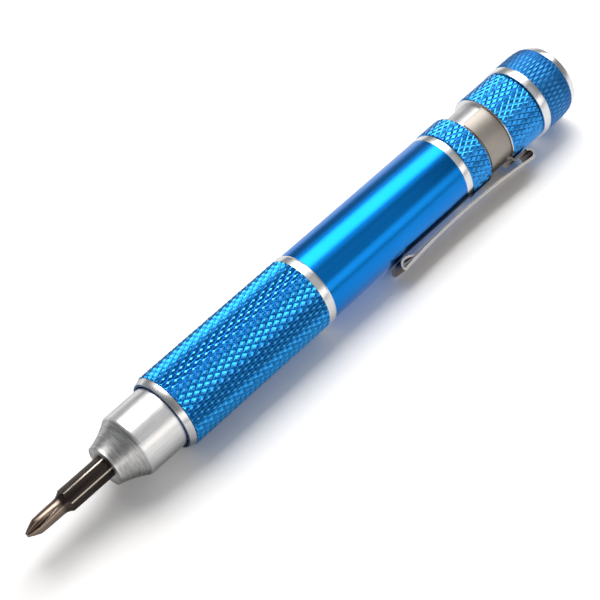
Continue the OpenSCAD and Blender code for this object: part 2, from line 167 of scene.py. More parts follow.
blueLook = {
    "deep": (0.002, 0.19, 0.62),
    "light": (0.009, 0.25, 0.78),
    "knurlDeep": (0.012, 0.22, 0.62),
    "knurlLight": (0.05, 0.36, 0.86),
    # Painted shade and light on knurling: of each pair below, the darker colour goes into the
    # grooves and the lighter onto the tops
    "shadedCapValley": (0.010, 0.12, 0.36),
    "litCapCrest": (0.08, 0.40, 0.85),
    "shadedValley": (0.006, 0.19, 0.56),
    "litCrest": (0.09, 0.52, 1.0),
    "roughness": 0.25,
    "knurlRoughness": 0.17,
    "gripRoughness": 0.22,
    "capRoughness": 0.38,
    "wander": 0.1,
    "evenGrain": (0.6, 0.6, 0.6),
    "drawnGrain": (0.02, 2.2, 2.2),
    "cloudScale": 0.12,
    "cloudShare": 0.4,
    "paintedShadeShare": 0.85,
    "relief": 0.003 * mm,
}


# Anodised aluminium; knurl gives the radius and depth of a knurling, which gets painted shade in
# its grooves and tops made lighter, partly as wear and partly as painted light
def blueMaterial(name, grainStretch, deep, light, roughness, knurl=None):
    b = blueLook
    made, tree, place = startMaterial(name)
    grain = noise(tree, place, 1.0, 3.0, b[grainStretch])
    cloud = noise(tree, place, b["cloudScale"])
    shade = grain * (1 - b["cloudShare"]) + cloud * b["cloudShare"]
    if knurl:
        top, depth = knurl
        # Painted shade: the colour darkens from the tops down into the grooves
        height = ((axisDistance(place) - (top - depth) / mm) * (mm / depth)).clamped()
        litCrest = height * height * height
        shade = litCrest * b["paintedShadeShare"] + shade * (1 - b["paintedShadeShare"])
    colour = mixColour(tree, shade, b[deep], b[light])
    rough = b[roughness] + grain * b["wander"] - b["wander"] / 2
    finishMaterial(tree, colour, 1.0, rough, grain, b["relief"])
    return made


mouthLook = {
    "colour": (0.01, 0.13, 0.40),
    "dark": 0.7,
    "roughness": 0.3,
    "gapShadeColour": (0.006, 0.007, 0.012),
    "gapRoughness": 0.7,
    "wander": 0.05,
    "relief": 0.003 * mm,
}


# The barrel's mouth: a face painted a darker blue as shade, and a rough near-black gap of painted
# shade within the given radius
def mouthMaterial(radius):
    m = mouthLook
    made, tree, place = startMaterial("blueMouth")
    grain = noise(tree, place, 1.0, 3.0, blueLook["evenGrain"])
    # Painted shade: within the given radius the gap is near black and not metal
    inShade = tree.math("LESS_THAN", axisDistance(place), radius / mm)
    face = mixColour(tree, grain, scaledColour(m["colour"], m["dark"]), m["colour"])
    colour = mixColour(tree, inShade, face, m["gapShadeColour"])
    rough = m["roughness"] + inShade * (m["gapRoughness"] - m["roughness"]) + grain * m["wander"]
    finishMaterial(tree, colour, 1 - inShade, rough, grain, m["relief"])
    return made


metalLook = {
    "lineScale": 4.0,
    "lineStretch": (1, 0.02, 0.02),
    "dark": 0.86,
    "light": 1.06,
    "relief": 0.003 * mm,
}


# Bare metal with a fine grain and, where latheDepth is above 0, lines left by a lathe
def metalMaterial(name, colour, roughness, latheDepth=0.0, grainScale=2.0, wander=0.08):
    m = metalLook
    made, tree, place = startMaterial(name)
    grain = noise(tree, place, grainScale, 3.0)
    lines = noise(tree, place, m["lineScale"], 4.0, m["lineStretch"])
    shade = grain * 0.5 + lines * 0.5
    base = mixColour(
        tree, shade, scaledColour(colour, m["dark"]), scaledColour(colour, m["light"]))
    rough = roughness + (shade - 0.5) * wander
    bump, depth = (lines, latheDepth) if latheDepth else (grain, m["relief"])
    finishMaterial(tree, base, 1.0, rough, bump, depth)
    return made


noseLook = {
    "colour": (0.96, 0.96, 0.96),
    "streakColour": (0.84, 0.84, 0.84),
    "roughness": 0.33,
    "flareColour": (0.74, 0.74, 0.74),
    "flareLineColour": (0.38, 0.38, 0.38),
    "flareRoughness": 0.36,
    "flareEnd": 5.15,
    "wander": 0.26,
    "contrast": 4,
    "contrastStart": 0.36,
    "streakStretch": (0.2, 5.0, 5.0),
    "broadStretch": (0.4, 1.2, 1.2),
    "broadShare": 0.3,
    "streakRelief": 0.006,
    "lineScale": 7.0,
    "lineStretch": (1, 0.03, 0.03),
    "scratchScale": 1.3,
    "scratchStretch": (1.6, 0.5, 0.5),
    "scratchShare": 0.35,
    "flareRelief": 0.018,
}


# The nose: fine streaks along its cylinder, turning lines and scratches on its flare
def noseMaterial():
    n = noseLook
    made, tree, place = startMaterial("satinAluminium")
    x, y, z = axisParts(place)
    flare = tree.math("LESS_THAN", x, n["flareEnd"])
    lines = noise(tree, place, n["lineScale"], 4.0, n["lineStretch"])
    fine = noise(tree, place, 1.0, 4.0, n["streakStretch"])
    broad = noise(tree, place, 1.0, 2.0, n["broadStretch"])
    streaks = fine * (1 - n["broadShare"]) + broad * n["broadShare"]
    scratches = noise(tree, place, n["scratchScale"], 5.0, n["scratchStretch"])
    worn = lines * (1 - n["scratchShare"]) + scratches * n["scratchShare"]
    streakShare = ((streaks - n["contrastStart"]) * n["contrast"]).clamped()
    wornShare = ((worn - n["contrastStart"]) * n["contrast"]).clamped()
    body = mixColour(tree, streakShare, n["streakColour"], n["colour"])
    turnedPart = mixColour(tree, wornShare, n["flareLineColour"], n["flareColour"])
    share = streaks * (1 - flare) + worn * flare
    rough = n["roughness"] * (1 - flare) + n["flareRoughness"] * flare
    rough = rough + (share - 0.5) * n["wander"]
    relief = lines * flare * n["flareRelief"] + streaks * (1 - flare) * n["streakRelief"]
    finishMaterial(tree, mixColour(tree, flare, body, turnedPart), 1.0, rough, relief, mm)
    return made


bitLook = {
    "shankColour": (0.095, 0.074, 0.063),
    "roughness": 0.27,
    "tipColour": (0.40, 0.31, 0.25),
    "tipRoughness": 0.13,
    "tipEnd": -10.2,
    "tipFade": 1.1,
    "edgeColour": (0.62, 0.55, 0.47),
    "edgeRadius": 2.225,
    "grimeColour": (0.02, 0.018, 0.016),
    "grimeShare": 0.5,
    "grimeScale": 2.0,
    "grimeStretch": (0.2, 3.0, 3.0),
    "grainScale": 6.0,
    "wander": 0.08,
    "relief": 0.004 * mm,
}


# Dark steel on the bit's shank, bright on its corners, and polished bronze steel on its tip
def bitMaterial():
    b = bitLook
    made, tree, place = startMaterial("bitSteel")
    x, y, z = axisParts(place)
    tip = ((b["tipEnd"] - x) / b["tipFade"]).clamped()
    grain = noise(tree, place, b["grainScale"], 3.0)
    grime = noise(tree, place, b["grimeScale"], 3.0, b["grimeStretch"]) * b["grimeShare"]
    base = mixColour(tree, tip, b["shankColour"], b["tipColour"])
    base = mixColour(tree, grime, base, b["grimeColour"])
    worn = tree.math("GREATER_THAN", axisDistance(place), b["edgeRadius"])
    base = mixColour(tree, worn, base, b["edgeColour"])
    rough = b["roughness"] + tip * (b["tipRoughness"] - b["roughness"])
    rough = rough + grain * b["wander"] - b["wander"] / 2
    finishMaterial(tree, base, 1.0, rough, grain, b["relief"])
    return made


plainLook = {"grainScale": 3.0, "dark": 0.85, "wander": 0.1, "relief": 0.01 * mm}


# Plastic and rubber
def plainMaterial(name, colour, roughness):
    p = plainLook
    made, tree, place = startMaterial(name)
    grain = noise(tree, place, p["grainScale"], 3.0)
    base = mixColour(tree, grain, scaledColour(colour, p["dark"]), colour)
    rough = roughness + (grain - 0.5) * p["wander"]
    finishMaterial(tree, base, 0.0, rough, grain, p["relief"])
    return made


# Meshes: the distance that counts as one point, the angles in degrees past which an edge stays
# sharp or is rounded, and the share of an edge that a rounded corner may take
meshing = {
    "weldGap": 1e-7,
    "sharpTurned": 32,
    "sharpSheet": 50,
    "sharpKnurl": 24,
    "flatAngle": 0.2,
    "bevelAngle": 40,
    "cornerShare": 0.4,
}


def linked(name, data):
    made = bpy.data.objects.new(name, data)
    scene.collection.objects.link(made)
    return made


def newObject(name, vertices, faces, material):
    mesh = bpy.data.meshes.new(name)
    mesh.from_pydata(vertices, [], faces)
    mesh.validate()
    mesh.materials.append(material)
    return linked(name, mesh)


def tidyMesh(piece, sharpAngle):
    work = bmesh.new()
    work.from_mesh(piece.data)
    bmesh.ops.remove_doubles(work, verts=work.verts, dist=meshing["weldGap"])
    bmesh.ops.recalc_face_normals(work, faces=work.faces)
    work.to_mesh(piece.data)
    work.free()
    piece.data.shade_smooth()
    piece.data.set_sharp_from_angle(angle=radians(sharpAngle))
    return piece


# The mesh that a maker's modifiers give, as a piece of its own; the maker goes
def finished(name, maker, sharpAngle):
    graph = bpy.context.evaluated_depsgraph_get()
    mesh = bpy.data.meshes.new_from_object(maker.evaluated_get(graph))
    bpy.data.objects.remove(maker)
    return tidyMesh(linked(name, mesh), sharpAngle)


# A closed loop of (x, r) points turned round the tool; r may be a function of the angle
def turned(name, profile, material, steps=192):
    vertices, faces = [], []
    rows = len(profile)
    for step in range(steps):
        angle = 2 * pi * step / steps
        for x, r in profile:
            radius = r(angle) if callable(r) else r
            vertices.append((x, radius * sin(angle), radius * cos(angle)))
    for step in range(steps):
        here, after = step * rows, (step + 1) % steps * rows
        for row in range(rows):
            nextRow = (row + 1) % rows
            faces.append((here + row, here + nextRow, after + nextRow, after + row))
    return tidyMesh(newObject(name, vertices, faces, material), meshing["sharpTurned"])


# Rounds the corners of a profile with short arcs
def rounded(points, radius, steps=3):
    out = []
    for i, point in enumerate(points):
        here = Vector(point)
        back = Vector(points[i - 1]) - here
        on = Vector(points[(i + 1) % len(points)]) - here
        share = meshing["cornerShare"]
        reach = min(radius, back.length * share, on.length * share)
        start = here + back.normalized() * reach
        end = here + on.normalized() * reach
        for k in range(steps + 1):
            t = k / steps
            out.append(tuple(start * (1 - t) ** 2 + here * 2 * t * (1 - t) + end * t ** 2))
    return out


# Adds an arc to a walk of (x, distance from the axis, heading)
def bend(walk, radius, turn, steps):
    x, r, heading = walk[-1]
    signed = radius if turn > 0 else -radius
    middleX, middleR = x - signed * sin(heading), r + signed * cos(heading)
    for i in range(1, steps + 1):
        a = heading + turn * i / steps
        walk.append((middleX + signed * sin(a), middleR - signed * cos(a), a))


def ahead(place, length):
    x, r, heading = place
    return x + length * cos(heading), r + length * sin(heading), heading


# A sheet that follows a walk in the plane of the clip, with rounded edges and closed ends;
# its narrow sides take the second material
def swept(name, walk, sheet, material, edgeMaterial):
    width, thickness, edge = sheet["width"], sheet["thickness"], sheet["edge"]
    section = rounded([
        (-width / 2, -thickness / 2), (width / 2, -thickness / 2),
        (width / 2, thickness / 2), (-width / 2, thickness / 2)], edge, 4)
    # Each row is a place on the walk, and how far the section is drawn in there
    ends = [(1 - cos(radians(a)), 1 - sin(radians(a))) for a in (0, 30, 60)]
    rows = [(ahead(walk[0], edge * way), edge * inset) for way, inset in ends]
    rows.append((ahead(walk[0], edge), 0))
    rows += [(place, 0) for place in walk[1:-1]]
    rows.append((ahead(walk[-1], -edge), 0))
    rows += [(ahead(walk[-1], -edge * way), edge * inset) for way, inset in reversed(ends)]
    tilt = radians(sheet["tilt"])
    outward = Vector((0, -cos(tilt), -sin(tilt)))
    across = Vector((0, -sin(tilt), cos(tilt)))
    vertices, faces = [], []
    for (x, r, heading), inset in rows:
        shrinkU, shrinkV = 1 - 2 * inset / width, 1 - 2 * inset / thickness
        for u, v in section:
            v = v * shrinkV
            along = Vector((x - v * sin(heading), 0, 0))
            vertices.append(tuple(
                along + outward * (r + v * cos(heading)) + across * u * shrinkU))
    count = len(section)
    for row in range(len(rows) - 1):
        here, after = row * count, (row + 1) * count
        for i in range(count):
            j = (i + 1) % count
            faces.append((here + i, here + j, after + j, after + i))
    faces.append(tuple(range(count)))
    faces.append(tuple(reversed(range(len(vertices) - count, len(vertices)))))
    made = newObject(name, vertices, faces, material)
    made.data.materials.append(edgeMaterial)
    for k in range((len(rows) - 1) * count):
        if dist(section[k % count], section[(k + 1) % count]) < thickness:
            made.data.polygons[k].material_index = 1
    return tidyMesh(made, meshing["sharpSheet"])


# A CAD node's mesh, merged, with its edges rounded; the rounding may have its own material
def softened(name, node, form, material, edgeMaterial=None):
    work = bmesh.new()
    work.from_mesh(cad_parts[node].data)
    bmesh.ops.remove_doubles(work, verts=work.verts, dist=meshing["weldGap"])
    bmesh.ops.dissolve_limit(
        work, angle_limit=radians(meshing["flatAngle"]), verts=work.verts, edges=work.edges)
    mesh = bpy.data.meshes.new(name)
    work.to_mesh(mesh)
    work.free()
    for polygon in mesh.polygons:
        polygon.material_index = 0
    for look in (material, edgeMaterial) if edgeMaterial else (material,):
        mesh.materials.append(look)
    maker = linked(name + "Maker", mesh)
    bevel = maker.modifiers.new("edges", "BEVEL")
    bevel.width = form["rounding"]
    bevel.segments = form["segments"]
    bevel.limit_method = "ANGLE"
    bevel.angle_limit = radians(meshing["bevelAngle"])
    bevel.material = 1 if edgeMaterial else -1
    return finished(name, maker, meshing["sharpSheet"])


# A node group's inputs, by name
def groupInputs(group, floats, integers):
    face = group.interface
    face.new_socket("Geometry", in_out="OUTPUT", socket_type="NodeSocketGeometry")
    for name in floats:
        face.new_socket(name, in_out="INPUT", socket_type="NodeSocketFloat")
    for name in integers:
        face.new_socket(name, in_out="INPUT", socket_type="NodeSocketInt")
    face.new_socket("Material", in_out="INPUT", socket_type="NodeSocketMaterial")
    source = group.nodes.new("NodeGroupInput")
    return {s.name: Wire(group, s) for s in source.outputs if s.name}


# Knurling: diamonds on a lattice, bent round the tool, with its open ends closed through the bore
def knurlTree():
    group = bpy.data.node_groups.new("knurledSleeve", "GeometryNodeTree")
    put = groupInputs(group, (
        "Start", "Length", "Radius", "Bore", "Diamond Length", "Depth", "Land", "Crown",
        "Front Drop", "Front Run", "Rear Drop", "Rear Run", "Round Drop", "Round Run"), (
        "Diamonds Around", "Fineness"))
    tree = Wire(group)
    around = put["Diamonds Around"]
    end = put["Start"] + put["Length"]
    middle = put["Start"] + put["Length"] * 0.5

    def vector(x, y, z):
        return tree.node("ShaderNodeCombineXYZ", {}, {0: x, 1: y, 2: z})

    def onCircle(x, radius, angle):
        return vector(x, radius * tree.math("SINE", angle), radius * tree.math("COSINE", angle))

    def moved(shape, position, selection=None):
        values = {"Geometry": shape, "Position": position}
        if selection is not None:
            values["Selection"] = selection
        return tree.node("GeometryNodeSetPosition", {}, values)

    def spot():
        return axisParts(tree.node("GeometryNodeInputPosition"))

    def welded(shape):
        return tree.node("GeometryNodeMergeByDistance", {}, {
            "Geometry": shape, "Distance": meshing["weldGap"]})

    # An open edge has one face, any other has two
    def openEdges():
        return tree.math("LESS_THAN", tree.node("GeometryNodeInputMeshEdgeNeighbors"), 1.5)

    def extruded(shape):
        return tree.node("GeometryNodeExtrudeMesh", {"mode": "EDGES"}, {
            "Mesh": shape, "Selection": openEdges(), "Offset Scale": 0.0})

    # One diamond: a land that falls to the grooves on its four sides, crowned like a pillow
    patch = tree.node("GeometryNodeMeshGrid", {}, {
        "Size X": 2.0, "Size Y": 2.0,
        "Vertices X": put["Fineness"], "Vertices Y": put["Fineness"]})

    # Half of the grid's lines are spread over the land, and half over the flanks
    def spaced(value):
        size = tree.math("ABSOLUTE", value)
        onLand = put["Land"] * tree.math("MINIMUM", 2 * size, 1)
        onFlank = (1 - put["Land"]) * tree.math("MAXIMUM", 2 * size - 1, 0)
        return tree.math("SIGN", value) * (onLand + onFlank)

    a, b, height = spot()
    a, b = spaced(a), spaced(b)
    away = tree.math("MAXIMUM", tree.math("ABSOLUTE", a), tree.math("ABSOLUTE", b))
    flank = ((away - put["Land"]) / (1 - put["Land"])).clamped()
    fall = put["Depth"] * flank + put["Crown"] * (1 - (1 - a * a) * (1 - b * b))
    patch = moved(patch, vector((a + b) / 4, (a - b) / 4, -1 * fall))

    # The lattice: every second row of diamonds is half a diamond further round, and the
    # diamonds are stretched until half rows of them fill the length
    halves = tree.math("ROUND", 2 * put["Length"] / put["Diamond Length"])
    diamond = 2 * put["Length"] / halves
    rows = halves + 1
    index = tree.node("GeometryNodeInputIndex")
    row = tree.math("FLOOR", (index + 0.5) / around)
    column = index - row * around
    centre = vector(row / 2, column + tree.math("MODULO", row, 2) / 2, 0)
    points = tree.node("GeometryNodePoints", {}, {"Count": rows * around, "Position": centre})
    lattice = tree.node("GeometryNodeInstanceOnPoints", {}, {"Points": points, "Instance": patch})
    sheet = tree.node("GeometryNodeRealizeInstances", {}, {"Geometry": lattice})

    lengths, turns, height = spot()
    along = lengths * diamond
    before = tree.math("LESS_THAN", along, 0)
    beyond = tree.math("GREATER_THAN", along, put["Length"])
    sheet = tree.node("GeometryNodeDeleteGeometry", {"domain": "FACE"}, {
        "Geometry": sheet, "Selection": before + beyond})

    # Bent round the tool, with a small slope at both ends and a rounding at the rear
    along = tree.math("MINIMUM", tree.math("MAXIMUM", along, 0), put["Length"])
    toEnd = put["Length"] - along
    inRound = (1 - toEnd / put["Round Run"]).clamped()
    knurled = put["Radius"] - put["Round Drop"] * inRound * inRound + height
    front = put["Radius"] - put["Front Drop"] * (1 - along / put["Front Run"])
    rear = put["Radius"] - put["Round Drop"] - put["Rear Drop"] * (1 - toEnd / put["Rear Run"])
    radius = tree.math("MINIMUM", knurled, tree.math("MINIMUM", front, rear))
    angle = turns * (2 * pi) / around
    sleeve = welded(moved(sheet, onCircle(put["Start"] + along, radius, angle)))

    # The ends are made plane, and drawn in to the bore and along it to the middle
    x, y, z = spot()
    side = tree.math("GREATER_THAN", x, middle)
    plane = vector(put["Start"] * (1 - side) + end * side, y, z)
    sleeve = extruded(moved(sleeve, plane, openEdges()))
    step = pi / around
    snapped = tree.math("ROUND", tree.math("ARCTAN2", y, z) / step) * step
    sleeve = extruded(welded(moved(sleeve, onCircle(x, put["Bore"], snapped), sleeve.out(1))))
    sleeve = welded(moved(sleeve, vector(middle, y, z), sleeve.out(1)))
    real = tree.node("GeometryNodeRealizeInstances", {}, {"Geometry": sleeve})
    coloured = tree.node("GeometryNodeSetMaterial", {}, {
        "Geometry": real, "Material": put["Material"]})
    tree.node("NodeGroupOutput", {}, {0: coloured})
    return group


# The knurling's inputs that a piece leaves out; a run is divided by, so it is never 0
plainEnds = {
    "Front Drop": 0.0, "Front Run": 1 * mm,
    "Rear Drop": 0.0, "Rear Run": 1 * mm,
    "Round Drop": 0.0, "Round Run": 1 * mm,
}


def fromTree(name, group, values):
    maker = linked(name + "Maker", bpy.data.meshes.new(name + "Maker"))
    modifier = maker.modifiers.new("maker", "NODES")
    modifier.node_group = group
    values = {**plainEnds, **values}
    for socket in group.interface.items_tree:
        if socket.in_out == "INPUT":
            modifier[socket.identifier] = values[socket.name]
    return finished(name, maker, meshing["sharpKnurl"])


# Every piece made here rides on a body and stands for a CAD node
def settle(piece, body, slot, *nodes):
    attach(piece, body)
    if nodes:
        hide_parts(*nodes)
    return piece


cameraSetup = {
    "aim": (47.8 * mm, -0.9 * mm, 0),
    "distance": 354.6 * mm,
    "azimuth": -38.545,
    "elevation": 50.434,
    "roll": -9.9,
    "lens": 117.25,
    "sensor": 36,
    "clip": (0.01, 20),
}


def makeCamera():
    c = cameraSetup
    azimuth, elevation = radians(c["azimuth"]), radians(c["elevation"])
    back = Vector((
        sin(azimuth) * cos(elevation), -cos(azimuth) * cos(elevation), sin(elevation)))
    lens = bpy.data.cameras.new("camera")
    lens.lens = c["lens"]
    lens.sensor_width = c["sensor"]
    lens.clip_start, lens.clip_end = c["clip"]
    camera = linked("camera", lens)
    camera.rotation_mode = "QUATERNION"
    camera.location = Vector(c["aim"]) + back * c["distance"]
    roll = Quaternion((0, 0, 1), radians(c["roll"]))
    camera.rotation_quaternion = (-back).to_track_quat("-Z", "Y") @ roll
    scene.camera = camera


makeCamera()
print("camera set")

# A panel is placed round the tool's axis: tilt from straight up towards +Y, and a lead along X
panels = {
    "keyPanel": {
        "tilt": 24, "lead": 1.0, "distance": 0.6, "size": (1.4, 0.42),
        "level": 3.5, "colour": (1.0, 0.985, 0.965)},
    "haloPanel": {
        "tilt": 24, "lead": 0.37, "distance": 0.8, "size": (0.9, 1.2),
        "level": 0.5, "colour": (1.0, 1.0, 1.0)},
    "frontPanel": {
        "tilt": -36, "lead": 0.35, "distance": 0.7, "size": (0.6, 0.42),
        "level": 0.28, "colour": (1.0, 1.0, 1.0)},
    "sidePanel": {
        "tilt": -70, "lead": -0.2, "distance": 0.7, "size": (1.6, 0.28),
        "level": 1.2, "colour": (1.0, 0.96, 0.91)},
}


def makePanels():
    middle = (cadBox[0] + cadBox[1]) / 2
    across = Vector((1, 0, 0))
    for name, panel in panels.items():
        lamp = bpy.data.lights.new(name, "AREA")
        lamp.shape = "RECTANGLE"
        lamp.size, lamp.size_y = panel["size"]
        lamp.energy = panel["level"] * pi * panel["size"][0] * panel["size"][1]
        lamp.color = panel["colour"]
        tilt = radians(panel["tilt"])
        outward = Vector((0, sin(tilt), cos(tilt)))
        place = middle + (outward + across * panel["lead"]) * panel["distance"]
        linked(name, lamp).matrix_world = Matrix.Translation(place) @ Matrix(
            (across, outward.cross(across), outward)).transposed().to_4x4()


# The world is lighter towards the horizon, plain white for the camera and dimmer for matt surfaces
worldLook = {
    "colour": (0.96, 0.98, 1.01),
    "level": 0.2,
    "lowLevel": 0.3,
    "lowEnd": 0.5,
    "matteDim": 0.5,
}


def makeWorld():
    w = worldLook
    world = bpy.data.worlds.new("studio")
    scene.world = world
    world.use_nodes = True
    world.node_tree.nodes.clear()
    tree = Wire(world.node_tree)
    seen = tree.node("ShaderNodeLightPath")
    ray = tree.node("ShaderNodeTexCoord", output="Generated")
    height = ray.node("ShaderNodeSeparateXYZ", {}, {0: ray}, output=2)
    low = (1 - height / w["lowEnd"]).clamped()
    level = w["level"] + low * (w["lowLevel"] - w["level"])
    level = level * (1 - w["matteDim"] * (1 - seen.out("Is Glossy Ray")))
    level = level * (1 - seen) + seen
    colour = mixColour(tree, seen, w["colour"], (1, 1, 1))
    sky = tree.node("ShaderNodeBackground", {}, {"Color": colour, "Strength": level})
    tree.node("ShaderNodeOutputWorld", {}, {"Surface": sky})


# The floor is brighter for the camera; in reflections it is dimmer, and glows far out. farStart
# and farEnd are in millimetres
floorLook = {
    "colour": (0.86, 0.86, 0.865),
    "gain": 1.5,
    "nearDim": 0.35,
    "farGlow": 0.45,
    "farStart": 14,
    "farEnd": 80,
    "size": 1.6,
    "paperScale": 0.05,
    "paperDark": 0.99,
}


def makeFloor():
    f = floorLook
    made, tree, place = startMaterial("paleFloor")
    seen = tree.node("ShaderNodeLightPath")
    mirrored = seen.out("Is Glossy Ray")
    gain = 1 + seen * (f["gain"] - 1) - mirrored * f["nearDim"]
    paper = noise(tree, place, f["paperScale"])
    base = mixColour(tree, paper, f["colour"], scaledColour(f["colour"], f["paperDark"]))
    base = tree.node("ShaderNodeVectorMath", {"operation": "SCALE"}, {0: base, "Scale": gain})
    matt = tree.node("ShaderNodeBsdfDiffuse", {}, {"Color": base})
    far = tree.node("ShaderNodeVectorMath", {"operation": "LENGTH"}, {0: place}, output="Value")
    far = ((far - f["farStart"]) / (f["farEnd"] - f["farStart"])).clamped()
    glow = tree.node("ShaderNodeEmission", {}, {
        "Color": (1, 1, 1, 1), "Strength": far * mirrored * f["farGlow"]})
    both = tree.node("ShaderNodeAddShader", {}, {0: matt, 1: glow})
    tree.node("ShaderNodeOutputMaterial", {}, {"Surface": both})
    half = f["size"]
    corners = [(-half, -half), (half, -half), (half, half), (-half, half)]
    floor = newObject("floor", [(x, y, floorHeight) for x, y in corners], [(0, 1, 2, 3)], made)


makePanels()
makeWorld()
makeFloor()
print("lights and floor set")

# Colour and roughness of each metal, with what differs from the defaults of metalMaterial
metals = {
    "brightAluminium": {
        "colour": (0.84, 0.84, 0.84), "roughness": 0.25, "latheDepth": 0.0008 * mm},
    "satinGroove": {"colour": (0.68, 0.68, 0.68), "roughness": 0.36},
    "toolSteel": {"colour": (0.085, 0.070, 0.060), "roughness": 0.2},
    "wornSteel": {"colour": bitLook["edgeColour"], "roughness": 0.24},
    "springNickel": {
        "colour": (0.41, 0.375, 0.34), "roughness": 0.48, "grainScale": 1.0, "wander": 0.1},
    # The blade's nickel is painted darker than the band's, as shade, and its narrow sides much
    # lighter, as a painted highlight
    "shadedBladeNickel": {"colour": (0.16, 0.140, 0.124), "roughness": 0.34, "grainScale": 1.0},
    "litBladeEdge": {"colour": (0.92, 0.86, 0.80), "roughness": 0.3, "grainScale": 1.0},
    "brass": {"colour": (0.75, 0.53, 0.22), "roughness": 0.3},
    "pinSteel": {"colour": (0.6, 0.6, 0.6), "roughness": 0.25},
    "magnetNickel": {"colour": (0.5, 0.5, 0.5), "roughness": 0.2},
}
plains = {
    "blackPlastic": {"colour": (0.025, 0.025, 0.028), "roughness": 0.45},
    "blackRubber": {"colour": (0.02, 0.02, 0.02), "roughness": 0.6},
    "paleWasher": {"colour": (0.7, 0.69, 0.66), "roughness": 0.5},
}
materials = {name: metalMaterial(name, **look) for name, look in metals.items()}
materials.update({name: plainMaterial(name, **look) for name, look in plains.items()})
ringMaterial = materials["brightAluminium"]
sleeveTree = knurlTree()

# Barrel: the lengths of its zones from the front, and the form of its knurling
barrel = {
    "mouthRadius": 6.601 * mm,
    "mouthDepth": 0.8 * mm,
    "gapEdge": 0.03 * mm,
    "bevelGap": 0.1 * mm,
    "bevelWall": 0.2 * mm,
    "bevelInset": 0.02 * mm,
    "seatRadius": 5.94 * mm,
    "frontRadius": 7.101 * mm,
    "bevelLength": 1.42 * mm,
    "knurlStep": 0.17 * mm,
    "knurlStepLength": 0.12 * mm,
    "knurlLength": 33.54 * mm,
    "ringLength": 1.91 * mm,
    "ringBevel": 0.37 * mm,
    "ringRise": 0.15 * mm,
    "rearRingLength": 1.62 * mm,
    "rearRingDrop": 0.02 * mm,
    "bore": 6.42 * mm,
    "edge": 0.05 * mm,
    "fineEdge": 0.03 * mm,
    "rearRingEdge": 0.08 * mm,
    "paintedShadeDepth": 0.2 * mm,
    "knurl": {
        "Diamond Length": 2.5 * mm, "Diamonds Around": 39, "Fineness": 9,
        "Depth": 0.23 * mm, "Land": 0.28, "Crown": 0.05 * mm},
}


def makeBarrel():
    b = barrel
    start, end = barrelLow.x, barrelHigh.x
    grip = barrelHigh.z
    smooth = grip - b["ringRise"]
    front = b["frontRadius"] - b["edge"]
    bevelEnd = start + b["bevelLength"]
    ringStart = bevelEnd + b["knurlLength"]
    ringEnd = ringStart + b["ringLength"]
    rearStart = end - b["rearRingLength"]
    seat = start + b["mouthDepth"]
    # The mouth's face is painted a darker blue and its gap near black, both as shade
    mouth = turned("barrelMouth", rounded([
        (start, b["mouthRadius"]), (start, front), (bevelEnd, front),
        (bevelEnd, b["seatRadius"]), (seat, b["seatRadius"]), (seat, b["mouthRadius"])],
        b["fineEdge"]), mouthMaterial(b["mouthRadius"] + b["gapEdge"]))
    settle(mouth, "handle", "blue_aluminium", "barrel")
    bevelStart = start + b["bevelInset"]
    bevelBack = bevelEnd - b["bevelGap"]
    inner = b["mouthRadius"] + b["bevelWall"]
    bevel = turned("gripBevel", rounded([
        (bevelStart, inner), (bevelStart, b["frontRadius"]),
        (bevelBack, grip - b["knurlStep"]), (bevelBack, inner)], b["edge"]), ringMaterial)
    settle(bevel, "handle", "satin_aluminium", "barrel")
    # The grip's colour is painted darker towards the grooves of its knurling, as shade, and
    # lighter on the tops
    gripBlue = blueMaterial(
        "blueGrip", "evenGrain", "shadedValley", "litCrest", "gripRoughness", (grip, b["paintedShadeDepth"]))
    knurl = fromTree("gripKnurl", sleeveTree, {
        **b["knurl"], "Start": bevelEnd, "Length": b["knurlLength"], "Radius": grip,
        "Bore": b["bore"], "Front Drop": b["knurlStep"], "Front Run": b["knurlStepLength"],
        "Material": gripBlue})
    settle(knurl, "handle", "blue_aluminium", "barrel")
    ring = turned("gripRing", rounded([
        (ringStart, b["bore"]), (ringStart, grip), (ringEnd - b["ringBevel"], grip),
        (ringEnd, smooth), (ringEnd, b["bore"])], b["edge"]), ringMaterial)
    settle(ring, "handle", "satin_aluminium", "barrel")
    tube = turned("smoothBarrel", rounded([
        (ringEnd, b["bore"]), (ringEnd, smooth), (rearStart, smooth), (rearStart, b["bore"])],
        b["fineEdge"]), blueMaterial("blueSmooth", "drawnGrain", "deep", "light", "roughness"))
    settle(tube, "handle", "blue_aluminium", "barrel")
    rearTop = smooth - b["rearRingDrop"]
    rear = turned("barrelRearRing", rounded([
        (rearStart, b["bore"]), (rearStart, rearTop), (end, rearTop), (end, b["bore"])],
        b["rearRingEdge"]), ringMaterial)
    settle(rear, "handle", "satin_aluminium", "barrel")
    print("barrel made")


makeBarrel()

# Nose: bitTurn is how far its hexagonal socket is turned, in degrees
nose = {
    "holeRadius": 2.749 * mm,
    "rim": 1.4 * mm,
    "rimEdge": 0.07 * mm,
    "rimSlant": 0.3,
    "rimLand": 0.3 * mm,
    "flareLength": 5.77 * mm,
    "ridgeLength": 0.67 * mm,
    "ridgeHeight": 0.18 * mm,
    "ridgeBow": 0.06 * mm,
    "hollow": 0.24 * mm,
    "length": 13.6 * mm,
    "step": 0.25 * mm,
    "seatLength": 4.0 * mm,
    "seatRadius": 3.0 * mm,
    "flats": 4.1 * mm,
    "bitTurn": 29.4,
    "mouthBevel": 0.45 * mm,
    "turningSteps": 240,
}


# Points on a shallow arc between two profile points; height is positive to the left
def shallowArc(start, end, height, steps):
    a, b = Vector(start), Vector(end)
    along = b - a
    left = Vector((-along.y, along.x)).normalized()
    shares = [k / steps for k in range(steps + 1)]
    return [tuple(a + along * t + left * height * 4 * t * (1 - t)) for t in shares]


